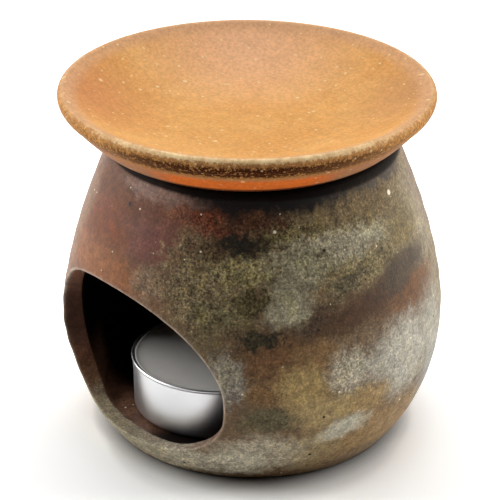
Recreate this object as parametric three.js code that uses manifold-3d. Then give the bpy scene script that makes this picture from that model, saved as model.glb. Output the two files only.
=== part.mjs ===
// A tea incense burner of unglazed, wood-fired stoneware: a round pot with a window in its side,
// a shallow dish that rests on the pot's mouth, and a tealight that stands on the pot's floor.
// Millimetres, +Z up. The origin is the middle of the pot's base, and the window faces -Y.
import * as THREE from "three";
import { mergeVertices } from "three/addons/utils/BufferGeometryUtils.js";
import Module from "manifold-3d";

// Gap that every piece keeps to what carries it
const seatGap = 0.3;

// Pot: a thrown wall that swells from the base to the belly and closes again to the mouth
const potBaseRadius = 29.8;
const potBaseEdge = 0.9;
const potBellyRadius = 40.8;
const potBellyHeight = 28.6;
const potMouthRadius = 30.9;
const potHeight = 66.5;
const potWall = 3.7;
const potFloor = 6;
const potFloorFillet = 3;
const lowerSwell = 2.2;
const lowerFlare = 0.85;
const upperSwell = 1.6;

// Window: a round-topped cut with a flatter sill, cut by hand, so its left side is a little squarer
const windowTop = 42.3;
const windowWaist = 22;
const windowSillStep = 0.4;
const windowRightRoom = 8.8;
const windowLeftRoom = 6.2;
const windowRightTopPower = 2;
const windowLeftTopPower = 2.6;
const windowSillPower = 3;

// Dish: a shallow saucer with a rounded rim and a turned foot that drops into the mouth
const dishRadius = 40;
const dishRise = 10.8;
const dishFloor = 4.2;
const dishWellRadius = 12;
const dishRimThickness = 4.2;
const dishRimWidth = 3.6;
const dishWellPower = 2.1;
const dishUndersidePower = 1.3;
const dishFootHeight = 2.4;
const dishFootWidth = 3.6;
const dishFootRecess = 0.8;
const dishFootRoom = 0.8;
const dishFootEdge = 0.5;
const dishSeatMargin = 0.2;
const dishShift = new THREE.Vector2(-0.9, -1.2);

// Tealight: a drawn aluminium cup, a wax filling, and a wick crimped in a sheet-metal tab
const cupRadius = 19;
const cupHeight = 12;
const cupWall = 0.4;
const cupDraft = 0.3;
const cupBead = 0.3;
const cupCorner = 0.9;
const cupStandOff = 1.5;
const cupAside = 1;
const waxRecess = 0.5;
const wickRadius = 0.75;
const wickStand = 6;
const wickLean = 0.8;
const tabRadius = 6;
const tabThickness = 0.4;
const tabNeckWall = 0.5;
const tabNeckHeight = 3;

// Facets
const potSides = 64;
const cupSides = 44;
const tabSides = 24;
const wickSides = 8;
const wickSteps = 10;
const wallSteps = 12;
const windowSteps = 56;
const cutterSteps = 8;

// Colours and finish of each material, from the fired clay and the tealight
const potClay = new THREE.MeshStandardMaterial({ color: 0x6f5f4c, roughness: 0.75, metalness: 0 });
const dishClay = new THREE.MeshStandardMaterial({ color: 0xcf8f56, roughness: 0.7, metalness: 0 });
const foil = new THREE.MeshStandardMaterial({ color: 0xd4d6d8, roughness: 0.25, metalness: 1 });
const paraffin = new THREE.MeshStandardMaterial({ color: 0xe9e6df, roughness: 0.5, metalness: 0 });
const cotton = new THREE.MeshStandardMaterial({ color: 0xded8c8, roughness: 0.95, metalness: 0 });
const tinplate = new THREE.MeshStandardMaterial({ color: 0xb9bbbd, roughness: 0.4, metalness: 1 });

// Outline points: a line is two points, and a curve is sampled from its formula

function point(radius, height) {
  return new THREE.Vector2(radius, height);
}

// A quarter or half round from one angle to another, in degrees, with its own radii along and up
function round(centre, radiusAcross, radiusUp, fromDegrees, toDegrees, steps) {
  const from = THREE.MathUtils.degToRad(fromDegrees);
  const to = THREE.MathUtils.degToRad(toDegrees);
  return Array.from({ length: steps + 1 }, (_, i) => {
    const angle = from + ((to - from) * i) / steps;
    return point(centre.x + radiusAcross * Math.cos(angle), centre.y + radiusUp * Math.sin(angle));
  });
}

// Points of a formula that gives radius and height for a share from 0 to 1
function sweep(formula, steps, from = 0, to = 1) {
  return Array.from({ length: steps + 1 }, (_, i) => formula(from + ((to - from) * i) / steps));
}

// A closed solid turned about +Z from an outline of radius and height
function turned(outline, sides) {
  const geometry = new THREE.LatheGeometry(outline, sides);
  geometry.rotateX(Math.PI / 2);
  return geometry;
}

const wasm = await Module();
wasm.setup();

// A closed geometry as a solid for cutting
function solidOf(geometry) {
  const bare = geometry.clone();
  bare.deleteAttribute("normal");
  bare.deleteAttribute("uv");
  const merged = mergeVertices(bare, 1e-4);
  return new wasm.Manifold(
    new wasm.Mesh({
      numProp: 3,
      vertProperties: merged.attributes.position.array,
      triVerts: new Uint32Array(merged.index.array),
    }),
  );
}

// A solid back as a geometry
function geometryOf(solid) {
  const mesh = solid.getMesh();
  const geometry = new THREE.BufferGeometry();
  geometry.setAttribute("position", new THREE.BufferAttribute(mesh.vertProperties, mesh.numProp));
  geometry.setIndex(new THREE.BufferAttribute(mesh.triVerts, 1));
  geometry.computeVertexNormals();
  return geometry;
}

// Pot wall: the outer radius at a height, from the base to where the lip starts to round over
const lipHeight = potHeight - potWall / 2;

function potOuterRadius(height) {
  if (height < potBellyHeight) {
    const share = (1 - (1 - height / potBellyHeight) ** lowerSwell) ** lowerFlare;
    return potBaseRadius + (potBellyRadius - potBaseRadius) * share;
  }
  const share = ((height - potBellyHeight) / (lipHeight - potBellyHeight)) ** upperSwell;
  return potBellyRadius + (potMouthRadius - potBellyRadius) * share;
}

function potInnerRadius(height) {
  return potOuterRadius(height) - potWall;
}

const chamberFloorRadius = potInnerRadius(potFloor + potFloorFillet) - potFloorFillet;
const mouthInnerRadius = potMouthRadius - potWall;
const lipRadius = potMouthRadius - potWall / 2;

function potOutline() {
  const outside = (share) => {
    const height = potBaseEdge + (lipHeight - potBaseEdge) * share;
    return point(potOuterRadius(height), height);
  };
  const insideFoot = potFloor + potFloorFillet;
  const inside = (share) => {
    const height = lipHeight + (insideFoot - lipHeight) * share;
    return point(potInnerRadius(height), height);
  };
  const floorCorner = point(chamberFloorRadius, insideFoot);
  return [
    point(0, 0),
    point(potBaseRadius - potBaseEdge, 0),
    ...sweep(outside, wallSteps),
    ...round(point(lipRadius, lipHeight), potWall / 2, potWall / 2, 30, 150, 4),
    ...sweep(inside, wallSteps),
    ...round(floorCorner, potFloorFillet, potFloorFillet, 0, -90, 3).slice(1),
    point(0, potFloor),
  ];
}

// Window cutter: its outline is drawn flat in angle and height, then bent round the pot's axis,
// so that the cut faces run towards the axis as a knife held square to the wall leaves them
const windowRight = { room: windowRightRoom, topPower: windowRightTopPower };
const windowLeft = { room: windowLeftRoom, topPower: windowLeftTopPower };
const windowSill = potFloor + windowSillStep;
const cutterInside = chamberFloorRadius - potFloorFillet;
const cutterOutside = potBellyRadius / Math.cos(windowAngle(windowRight)) + potWall;

function windowAngle(side) {
  return Math.asin((cupRadius + side.room) / potOuterRadius(windowWaist));
}

function windowPoint(share) {
  const turn = 2 * Math.PI * share;
  const side = Math.cos(turn) >= 0 ? windowRight : windowLeft;
  const above = Math.sin(turn) >= 0;
  const power = 2 / (above ? side.topPower : windowSillPower);
  const reach = above ? windowTop - windowWaist : windowWaist - windowSill;
  const angle = windowAngle(side) * Math.sign(Math.cos(turn)) * Math.abs(Math.cos(turn)) ** power;
  const height = windowWaist + reach * Math.sign(Math.sin(turn)) * Math.abs(Math.sin(turn)) ** power;
  return point(angle, height);
}

function windowCutter() {
  const shape = new THREE.Shape(sweep(windowPoint, windowSteps).slice(0, windowSteps));
  const geometry = new THREE.ExtrudeGeometry(shape, {
    depth: cutterOutside - cutterInside,
    steps: cutterSteps,
    bevelEnabled: false,
  });
  const position = geometry.attributes.position;
  for (let i = 0; i < position.count; i++) {
    const angle = position.getX(i);
    const height = position.getY(i);
    const reach = cutterInside + position.getZ(i);
    position.setXYZ(i, reach * Math.sin(angle), -reach * Math.cos(angle), height);
  }
  return geometry;
}

function potBody() {
  const wall = solidOf(turned(potOutline(), potSides));
  return geometryOf(wall.subtract(solidOf(windowCutter())));
}

// Dish, drawn about its own axis with height 0 at the flat seat that rests on the pot's lip
const dishFootRadius = mouthInnerRadius - dishShift.length() - dishFootRoom;
const dishSeatRadius = lipRadius + dishShift.length() + dishSeatMargin;

function dishOutline() {
  const rimCentre = point(dishRadius - dishRimWidth / 2, dishRise - dishRimThickness / 2);
  const rim = round(rimCentre, dishRimWidth / 2, dishRimThickness / 2, -60, 120, 12);
  const rimFoot = rim[0];
  const rimInside = rim[rim.length - 1];
  const recess = dishFootRecess - dishFootHeight;
  const wellHeight = recess + dishFloor;
  const footInside = dishFootRadius - dishFootWidth;
  const underside = (share) =>
    point(
      dishSeatRadius + (rimFoot.x - dishSeatRadius) * share,
      rimFoot.y * share ** dishUndersidePower,
    );
  const well = (share) =>
    point(
      dishWellRadius + (rimInside.x - dishWellRadius) * share,
      wellHeight + (rimInside.y - wellHeight) * share ** dishWellPower,
    );
  return [
    point(0, recess),
    point(footInside - dishFootEdge, recess),
    point(footInside, -dishFootHeight),
    point(dishFootRadius - dishFootEdge, -dishFootHeight),
    point(dishFootRadius, dishFootEdge - dishFootHeight),
    point(dishFootRadius, 0),
    ...sweep(underside, 6),
    ...rim.slice(1),
    ...sweep(well, 9, 1, 0).slice(1),
    point(0, wellHeight),
  ];
}

// Tealight, drawn about its own axis with height 0 at the underside of the cup
const cupTopRadius = cupRadius - cupBead;
const cupBaseRadius = cupTopRadius - cupDraft;
const cupInnerFloor = cupWall;
const waxTop = cupHeight - waxRecess;
const wickTop = waxTop + wickStand;

// The cup wall's outer radius at a height, between its base and its rolled bead
function cupOuterRadius(height) {
  return cupBaseRadius + (cupDraft * height) / cupHeight;
}

function cupOutline() {
  const corner = point(cupBaseRadius - cupCorner, cupCorner);
  const innerCorner = cupCorner - cupWall;
  const beadCentre = point(cupTopRadius, cupHeight - cupBead);
  return [
    point(0, 0),
    ...round(corner, cupCorner, cupCorner, -90, 0, 4),
    point(cupOuterRadius(cupHeight - 2 * cupBead), cupHeight - 2 * cupBead),
    ...round(beadCentre, cupBead, cupBead, -60, 180, 6),
    ...round(corner, innerCorner, innerCorner, 0, -90, 4),
    point(0, cupInnerFloor),
  ];
}

const tabFoot = cupInnerFloor + seatGap;
const tabBore = wickRadius + seatGap;
const tabNeckRadius = tabBore + tabNeckWall;
const tabTop = tabFoot + tabThickness;
const neckTop = tabTop + tabNeckHeight;

function tabOutline() {
  return [
    point(0, tabFoot),
    point(tabRadius, tabFoot),
    point(tabRadius, tabTop),
    point(tabNeckRadius + tabThickness, tabTop),
    point(tabNeckRadius, tabTop + tabThickness),
    point(tabNeckRadius, neckTop),
    point(tabBore, neckTop),
    point(tabBore, tabTop),
    point(0, tabTop),
  ];
}

function waxOutline() {
  const foot = cupInnerFloor + seatGap;
  const corner = cupCorner - cupWall;
  const wall = (height) => cupOuterRadius(height) - cupWall - seatGap;
  const pocketRadius = tabRadius + seatGap;
  const pocketTop = tabTop + seatGap;
  const neckPocket = tabNeckRadius + tabThickness + seatGap;
  return [
    point(pocketRadius, foot),
    ...round(point(wall(0) - corner, foot + corner), corner, corner, -90, 0, 3),
    point(wall(waxTop), waxTop),
    point(tabBore, waxTop),
    point(tabBore, neckTop + seatGap),
    point(neckPocket, neckTop + seatGap),
    point(neckPocket, pocketTop),
    point(pocketRadius, pocketTop),
    point(pocketRadius, foot),
  ];
}

// The wick stands straight through the wax and leans a little above it
function wickGeometry() {
  const path = new THREE.CatmullRomCurve3([
    new THREE.Vector3(0, 0, tabTop + seatGap),
    new THREE.Vector3(0, 0, waxTop / 2),
    new THREE.Vector3(0, 0, waxTop),
    new THREE.Vector3(wickLean / 3, 0, waxTop + wickStand / 2),
    new THREE.Vector3(wickLean, 0, wickTop),
  ]);
  const section = new THREE.Shape(round(point(0, 0), wickRadius, wickRadius, 0, 360, wickSides).slice(1));
  return new THREE.ExtrudeGeometry(section, { steps: wickSteps, extrudePath: path });
}

// Assembly
const burner = new THREE.Group();

function add(parent, name, geometry, material) {
  const mesh = new THREE.Mesh(geometry, material);
  mesh.name = name;
  parent.add(mesh);
}

add(burner, "pot_body", potBody(), potClay);

const dish = new THREE.Group();
dish.position.set(dishShift.x, dishShift.y, potHeight + seatGap);
burner.add(dish);
add(dish, "tea_dish", turned(dishOutline(), potSides), dishClay);

const tealight = new THREE.Group();
const cupForward = chamberFloorRadius - cupBaseRadius - cupStandOff;
tealight.position.set(cupAside, -cupForward, potFloor + seatGap);
burner.add(tealight);
add(tealight, "candle_cup", turned(cupOutline(), cupSides), foil);
add(tealight, "candle_wax", turned(waxOutline(), cupSides), paraffin);
add(tealight, "candle_wick", wickGeometry(), cotton);
add(tealight, "wick_tab", turned(tabOutline(), tabSides), tinplate);

export default burner;
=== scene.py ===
# A tea incense burner on a white table: a wood-fired stoneware pot with a window in its side, a tealight
# behind the window, and a shallow dish of the same clay on the pot's mouth. Shapes are worked out in
# millimetres and put into meshes in metres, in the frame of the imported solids: +Z up, window towards -Y.
import math

import bmesh
import bpy
import numpy as np
from mathutils import Matrix


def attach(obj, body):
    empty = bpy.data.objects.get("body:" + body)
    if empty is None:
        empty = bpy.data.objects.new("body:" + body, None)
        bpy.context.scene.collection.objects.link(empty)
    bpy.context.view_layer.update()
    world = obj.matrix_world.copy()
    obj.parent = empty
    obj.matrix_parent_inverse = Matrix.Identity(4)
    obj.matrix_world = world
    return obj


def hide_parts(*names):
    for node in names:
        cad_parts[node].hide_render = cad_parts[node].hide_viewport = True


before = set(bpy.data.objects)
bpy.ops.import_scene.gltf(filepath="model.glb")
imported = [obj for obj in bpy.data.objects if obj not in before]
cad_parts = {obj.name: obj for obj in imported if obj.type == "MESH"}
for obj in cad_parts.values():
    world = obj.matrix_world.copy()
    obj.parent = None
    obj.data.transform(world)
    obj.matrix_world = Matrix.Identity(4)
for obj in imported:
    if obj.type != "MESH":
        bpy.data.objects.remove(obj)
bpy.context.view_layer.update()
scene = bpy.context.scene
scene.view_settings.view_transform = "Standard"

# CAMERA
# A long lens a little over half a metre away, looking down past the dish's near rim, with the window
# turned to the left of the picture. Height, pitch and roll are those that fit the outlines in the photograph.
mm = 0.001
camera_azimuth = math.radians(52.5)
camera_reach = 600.0
camera_height = 320.4
camera_pitch = 0.438151
camera_yaw = -0.0012
camera_roll = 0.00502
focal_length_px = 3073.5
photo_width_px = 500
sensor_width = 36.0

camera = bpy.data.objects.new("camera", bpy.data.cameras.new("camera"))
camera.data.sensor_width = sensor_width
camera.data.lens = focal_length_px / photo_width_px * sensor_width
camera.matrix_world = (
    Matrix.Translation(
        (
            camera_reach * math.sin(camera_azimuth) * mm,
            -camera_reach * math.cos(camera_azimuth) * mm,
            camera_height * mm,
        )
    )
    @ Matrix.Rotation(camera_azimuth - camera_yaw, 4, "Z")
    @ Matrix.Rotation(math.pi / 2 - camera_pitch, 4, "X")
    @ Matrix.Rotation(camera_roll, 4, "Z")
)
scene.collection.objects.link(camera)
scene.camera = camera

# POT
# One thrown piece of stoneware: floor, swelling wall and rounded lip. While the clay was leather-hard a
# window was cut through the wall with a knife held square to it, and the cut's outer edge was softened.
pot_base_radius = 29.8
pot_base_edge = 0.9
pot_belly_radius = 40.8
pot_belly_height = 28.6
pot_mouth_radius = 30.9
pot_height = 66.5
pot_wall = 3.7
pot_floor = 6.0
pot_floor_fillet = 3.0
lower_swell = 2.2
lower_flare = 0.85
upper_swell = 1.6
disc_radius = 24.0
disc_margin = 4.0
lip_height = pot_height - pot_wall / 2
lip_radius = pot_mouth_radius - pot_wall / 2

window_right_width = 27.8
window_left_width = 25.2
window_top = 42.3
window_waist = 22.0
window_sill = 6.4
window_right_power = 2.0
window_left_power = 2.2
window_sill_power = 3.0
window_outer_softening = 0.8
window_inner_softening = 0.3


def pot_outer_radius(height):
    """Radius of the wall: a flared power curve up to the belly, a plain power curve from there to the lip."""
    low = (1 - np.clip(1 - height / pot_belly_height, 0, 1) ** lower_swell) ** lower_flare
    high = np.clip((height - pot_belly_height) / (lip_height - pot_belly_height), 0, None) ** upper_swell
    return np.where(
        height < pot_belly_height,
        pot_base_radius + (pot_belly_radius - pot_base_radius) * low,
        pot_belly_radius + (pot_mouth_radius - pot_belly_radius) * high,
    )


def arc(centre, radii, from_degrees, to_degrees, steps):
    """Points of radius and height on an ellipse's arc, from one angle to another."""
    angle = np.radians(np.linspace(from_degrees, to_degrees, steps + 1))
    return np.stack([centre[0] + radii[0] * np.cos(angle), centre[1] + radii[1] * np.sin(angle)], -1)


def wall_line(heights, inset):
    """Points of radius and height up or down the wall, set in from its outside."""
    return np.stack([pot_outer_radius(heights) - inset, heights], -1)


chamber_floor_radius = (
    float(pot_outer_radius(pot_floor + pot_floor_fillet)) - pot_wall - pot_floor_fillet
)
base_edge_radius = float(pot_outer_radius(pot_base_edge))
pot_outside = np.concatenate(
    [
        [[disc_radius, 0.0]],
        arc(
            (pot_base_radius - pot_base_edge, pot_base_edge),
            (base_edge_radius - pot_base_radius + pot_base_edge, pot_base_edge),
            -90, 0, 8,
        ),
        wall_line(np.linspace(pot_base_edge, lip_height, 400), 0.0)[1:],
        arc((lip_radius, lip_height), (pot_wall / 2, pot_wall / 2), 25, 90, 12),
    ]
)
pot_inside = np.concatenate(
    [
        arc((lip_radius, lip_height), (pot_wall / 2, pot_wall / 2), 90, 155, 12),
        wall_line(np.linspace(lip_height, pot_floor + pot_floor_fillet, 400), pot_wall),
        arc(
            (chamber_floor_radius, pot_floor + pot_floor_fillet),
            (pot_floor_fillet, pot_floor_fillet),
            0, -90, 12,
        )[1:],
        [[disc_radius, pot_floor]],
    ]
)


def measured(profile):
    """Distances along a profile at each of its points."""
    return np.concatenate([[0.0], np.cumsum(np.hypot(*np.diff(profile, axis=0).T))])


def fade(values, start, full):
    """0 up to start, 1 from full on, and an even slope between them."""
    return np.clip((values - start) / (full - start), 0, 1)


# What the maker's hands left, in mm. The marked wall is inset, so that its rises stay inside the solid's box.
slow_lean = 0.08
quick_lean = 0.04
ring_pitch = 5.3
ring_depth = 0.06
ring_fade = 8.0
swell_depth = 1.15
swell_angle = -0.68
swell_sharpness = 16
swell_height = 19.0
swell_reach = 11.0
marked_inset = 0.18


def finger_marks(angle, height):
    """Radial rise and fall left by hand: a slow lean of the wall, rings that climb one pitch a turn, and a
    bell-shaped swelling at the window's left edge, where the cut wall sprang out a little."""
    ends = fade(height, 0, ring_fade) * fade(height, lip_height, lip_height - ring_fade)
    lean = slow_lean * np.cos(2 * angle + 0.7) + quick_lean * np.cos(3 * angle - 1.1)
    turn = 2 * np.pi * height / ring_pitch - angle
    rings = ring_depth * np.sin(turn) * (0.6 + 0.4 * np.sin(angle + height / 9))
    beside = np.exp(swell_sharpness * (np.cos(angle - swell_angle) - 1))
    level = np.exp(-(((height - swell_height) / swell_reach) ** 2))
    return ends * (lean + rings + swell_depth * beside * level - marked_inset)


def wall_points(profile, angle, distance, marks):
    """The profile turned about +Z: a point at an angle from -Y and at a distance along the profile."""
    lengths = measured(profile)
    radius = np.interp(distance, lengths, profile[:, 0])
    height = np.interp(distance, lengths, profile[:, 1])
    radius = radius + marks * finger_marks(angle, height)
    return np.stack([radius * np.sin(angle), -radius * np.cos(angle), height], -1)


# The window's outline: a half ellipse above the waist, squarer on the left, and a flatter superellipse
# below it, in angle and height, with the slight unevenness of a cut made by hand.
waist_radius = float(pot_outer_radius(window_waist))


def window_outline(turn):
    """Angle and height of the outline at a turn round it: powers of cosine and sine, times a slow waver."""
    above = np.sin(turn) >= 0
    right = np.cos(turn) >= 0
    upper_power = np.where(right, window_right_power, window_left_power)
    power = 2 / np.where(above, upper_power, window_sill_power)
    half_angle = np.arcsin(np.where(right, window_right_width, window_left_width) / waist_radius)
    reach = np.where(above, window_top - window_waist, window_waist - window_sill)
    waver = 1 + 0.006 * np.sin(2 * turn + 0.8) + 0.004 * np.sin(5 * turn + 2.1)
    angle = half_angle * np.sign(np.cos(turn)) * np.abs(np.cos(turn)) ** power * waver
    height = window_waist + reach * np.sign(np.sin(turn)) * np.abs(np.sin(turn)) ** power * waver
    return angle, height


# The wall is laid out in two parts: a frame of lines that run from the window's edge to a rectangle
# round it, and a plain grid for the rest of the turn.
frame_half_angle = math.radians(60.0)
frame_across = 120
frame_up = 110
frame_out = 40
frame_in = 12
back_across = 180
lower_corner = math.radians(40.0)
upper_corner = math.radians(45.0)

dense_turn = np.linspace(-lower_corner, 2 * np.pi - lower_corner, 6001)
dense_angle, dense_height = window_outline(dense_turn)
dense_length = measured(np.stack([dense_angle * pot_belly_radius, dense_height], -1))


def evenly(from_turn, to_turn, steps):
    """Turns at even distances along the outline, the last one left to the next side."""
    ends = np.interp([from_turn, to_turn], dense_turn, dense_length)
    return np.interp(np.linspace(*ends, steps + 1)[:-1], dense_length, dense_turn)


edge_turn = np.concatenate(
    [
        evenly(-lower_corner, upper_corner, frame_up),
        evenly(upper_corner, np.pi - upper_corner, frame_across),
        evenly(np.pi - upper_corner, np.pi + lower_corner, frame_up),
        evenly(np.pi + lower_corner, 2 * np.pi - lower_corner, frame_across),
    ]
)
edge_angle, edge_height = window_outline(edge_turn)


def rectangle(length):
    """Angles and distances along the profile round the rectangle, in step with the window's edge."""
    up = np.linspace(0, length, frame_up + 1)[:-1]
    across = np.linspace(-frame_half_angle, frame_half_angle, frame_across + 1)[:-1]
    angle = np.concatenate(
        [np.full(frame_up, frame_half_angle), -across, np.full(frame_up, -frame_half_angle), across]
    )
    distance = np.concatenate([up, np.full(frame_across, length), length - up, np.zeros(frame_across)])
    return angle, distance


def closed(points):
    """A loop of points with its first point repeated at the end."""
    return np.concatenate([points, points[:1]])


def window_side(profile, upward, softening, steps, marks):
    """One face of the wall: the window's edge on it, the edge moved out by the softening, and its grids."""
    lengths = measured(profile)
    # Points near the disc's edge lie on the base or the floor, the others on the wall.
    wall = np.abs(profile[:, 0] - disc_radius) > disc_margin
    order = np.argsort(profile[wall, 1])
    distance = np.interp(edge_height, profile[wall, 1][order], lengths[wall][order])
    radius = np.interp(distance, lengths, profile[:, 0])
    step_angle = radius * (np.roll(edge_angle, -1) - np.roll(edge_angle, 1))
    step_distance = upward * (np.roll(distance, -1) - np.roll(distance, 1))
    size = np.hypot(step_angle, step_distance)
    soft_angle = edge_angle + softening * step_distance / size / radius
    soft_distance = distance - upward * softening * step_angle / size
    total = lengths[-1]
    far_angle, far_distance = rectangle(total)
    far_distance = far_distance if upward > 0 else total - far_distance
    share = np.linspace(0, 1, steps + 1)
    angles = closed(soft_angle)[:, None] * (1 - share) + closed(far_angle)[:, None] * share
    distances = closed(soft_distance)[:, None] * (1 - share) + closed(far_distance)[:, None] * share
    around = wall_points(profile, angles, distances, marks)
    back_angle = np.linspace(frame_half_angle, 2 * np.pi - frame_half_angle, back_across + 1)
    up = np.linspace(0, total, frame_up + 1)
    back = wall_points(profile, back_angle[:, None] + 0 * up, up + 0 * back_angle[:, None], marks)
    edge = wall_points(profile, closed(edge_angle), closed(distance), marks)
    return edge, around, back


outer_edge, outer_frame, outer_back = window_side(pot_outside, 1, window_outer_softening, frame_out, 1.0)
inner_edge, inner_frame, inner_back = window_side(pot_inside, -1, window_inner_softening, frame_in, 0.0)


def rounded(start, corner, end, steps):
    """A quadratic curve from start to end that is drawn towards the corner."""
    share = np.linspace(0, 1, steps + 1)[None, :, None]
    ends = start[:, None] * (1 - share) ** 2 + end[:, None] * share**2
    return ends + 2 * corner[:, None] * share * (1 - share)


soft_steps = 6
cut_direction = inner_edge - outer_edge
cut_direction = cut_direction / np.linalg.norm(cut_direction, axis=-1, keepdims=True)
cut_start = outer_edge + cut_direction * window_outer_softening
cut_end = inner_edge - cut_direction * window_inner_softening
between = np.linspace(0, 1, 5)[None, 1:-1, None]
cut_face = np.concatenate(
    [
        rounded(outer_frame[:, 0], outer_edge, cut_start, soft_steps),
        cut_start[:, None] * (1 - between) + cut_end[:, None] * between,
        rounded(cut_end, inner_edge, inner_frame[:, 0], 4),
    ],
    axis=1,
)


def disc(height):
    """The flat middle of the floor or the base, as rings that close to a point on the axis."""
    across = np.linspace(-frame_half_angle, frame_half_angle, frame_across + 1)
    behind = np.linspace(frame_half_angle, 2 * np.pi - frame_half_angle, back_across + 1)[1:]
    angle = np.concatenate([across, behind])[:, None]
    radius = disc_radius * np.linspace(1, 0, 6)
    return np.stack(
        [radius * np.sin(angle), -radius * np.cos(angle), height + 0 * radius * angle], -1
    )


weld_distance = 0.002 * mm


def joined_piece(name, sheets, marks=None):
    """One closed mesh from sheets, grids of points in millimetres, welded where they meet.
    marks names point attributes, each with one value or one array of values for every sheet."""
    counts = [sheet.shape[0] * sheet.shape[1] for sheet in sheets]
    starts = np.concatenate([[0], np.cumsum(counts)])
    faces = []
    for sheet, start in zip(sheets, starts):
        index = start + np.arange(sheet.shape[0] * sheet.shape[1]).reshape(sheet.shape[:2])
        quads = [index[:-1, :-1], index[:-1, 1:], index[1:, 1:], index[1:, :-1]]
        faces.append(np.stack(quads, -1).reshape(-1, 4))
    points = np.concatenate([sheet.reshape(-1, 3) for sheet in sheets]) * mm
    mesh = bpy.data.meshes.new(name)
    mesh.from_pydata(points.tolist(), [], np.concatenate(faces).tolist())
    for mark, values in (marks or {}).items():
        spread = [np.broadcast_to(value, sheet.shape[:2]).ravel() for value, sheet in zip(values, sheets)]
        layer = mesh.attributes.new(mark, "FLOAT", "POINT")
        layer.data.foreach_set("value", np.concatenate(spread).astype(np.float32))
    shell = bmesh.new()
    shell.from_mesh(mesh)
    bmesh.ops.remove_doubles(shell, verts=shell.verts, dist=weld_distance)
    bmesh.ops.recalc_face_normals(shell, faces=shell.faces)
    shell.to_mesh(mesh)
    shell.free()
    mesh.shade_smooth()
    piece = bpy.data.objects.new(name, mesh)
    scene.collection.objects.link(piece)
    return piece


def linear(colour):
    """An sRGB hex colour as linear red, green, blue and alpha."""
    value = np.array([int(colour[i : i + 2], 16) for i in (1, 3, 5)]) / 255
    value = np.where(value <= 0.04045, value / 12.92, ((value + 0.055) / 1.055) ** 2.4)
    return (*value.tolist(), 1.0)


def add(tree, kind, settings=None, links=None, output=0):
    """Adds a node, sets its properties and inputs, links its inputs to sockets of other nodes, and returns
    one of its outputs."""
    node = tree.nodes.new("ShaderNode" + kind)
    for key, value in (settings or {}).items():
        if isinstance(key, int) or key in node.inputs:
            node.inputs[key].default_value = value
        else:
            setattr(node, key, value)
    for key, socket in (links or {}).items():
        tree.links.new(node.inputs[key], socket)
    return node.outputs[output]


def new_material(name):
    """A material with only its surface shader and output, which are returned with its tree."""
    material = bpy.data.materials.new(name)
    material.use_nodes = True
    tree = material.node_tree
    return material, tree, tree.nodes["Principled BSDF"]


# A Map Range node takes the range between inputs 1 and 2 to that between inputs 3 and 4, which is 0 to 1
# where it isn't set. A Mix node for colours has the sockets named here.
smoothstep = {"interpolation_type": "SMOOTHSTEP"}
mix_factor, mix_base, mix_over, mix_result = 0, 6, 7, 2


def layered(tree, colour, layers):
    """The colour with others laid over it in turn, each by its own amount."""
    for hex_colour, amount in layers:
        over = {"data_type": "RGBA", mix_over: linear(hex_colour)}
        colour = add(tree, "Mix", over, {mix_factor: amount, mix_base: colour}, mix_result)
    return colour


# Wood-fired stoneware: iron-bearing clay, unglazed, so the flame and the ash coloured it. Each mark is a
# patch at an azimuth (degrees from the window's middle towards +X) and a height; most are fire marks, and
# a few are painted light and shade. The more ash grain a mark has, the more its edge is frayed.
pot_clay = "#785f45"
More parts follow.
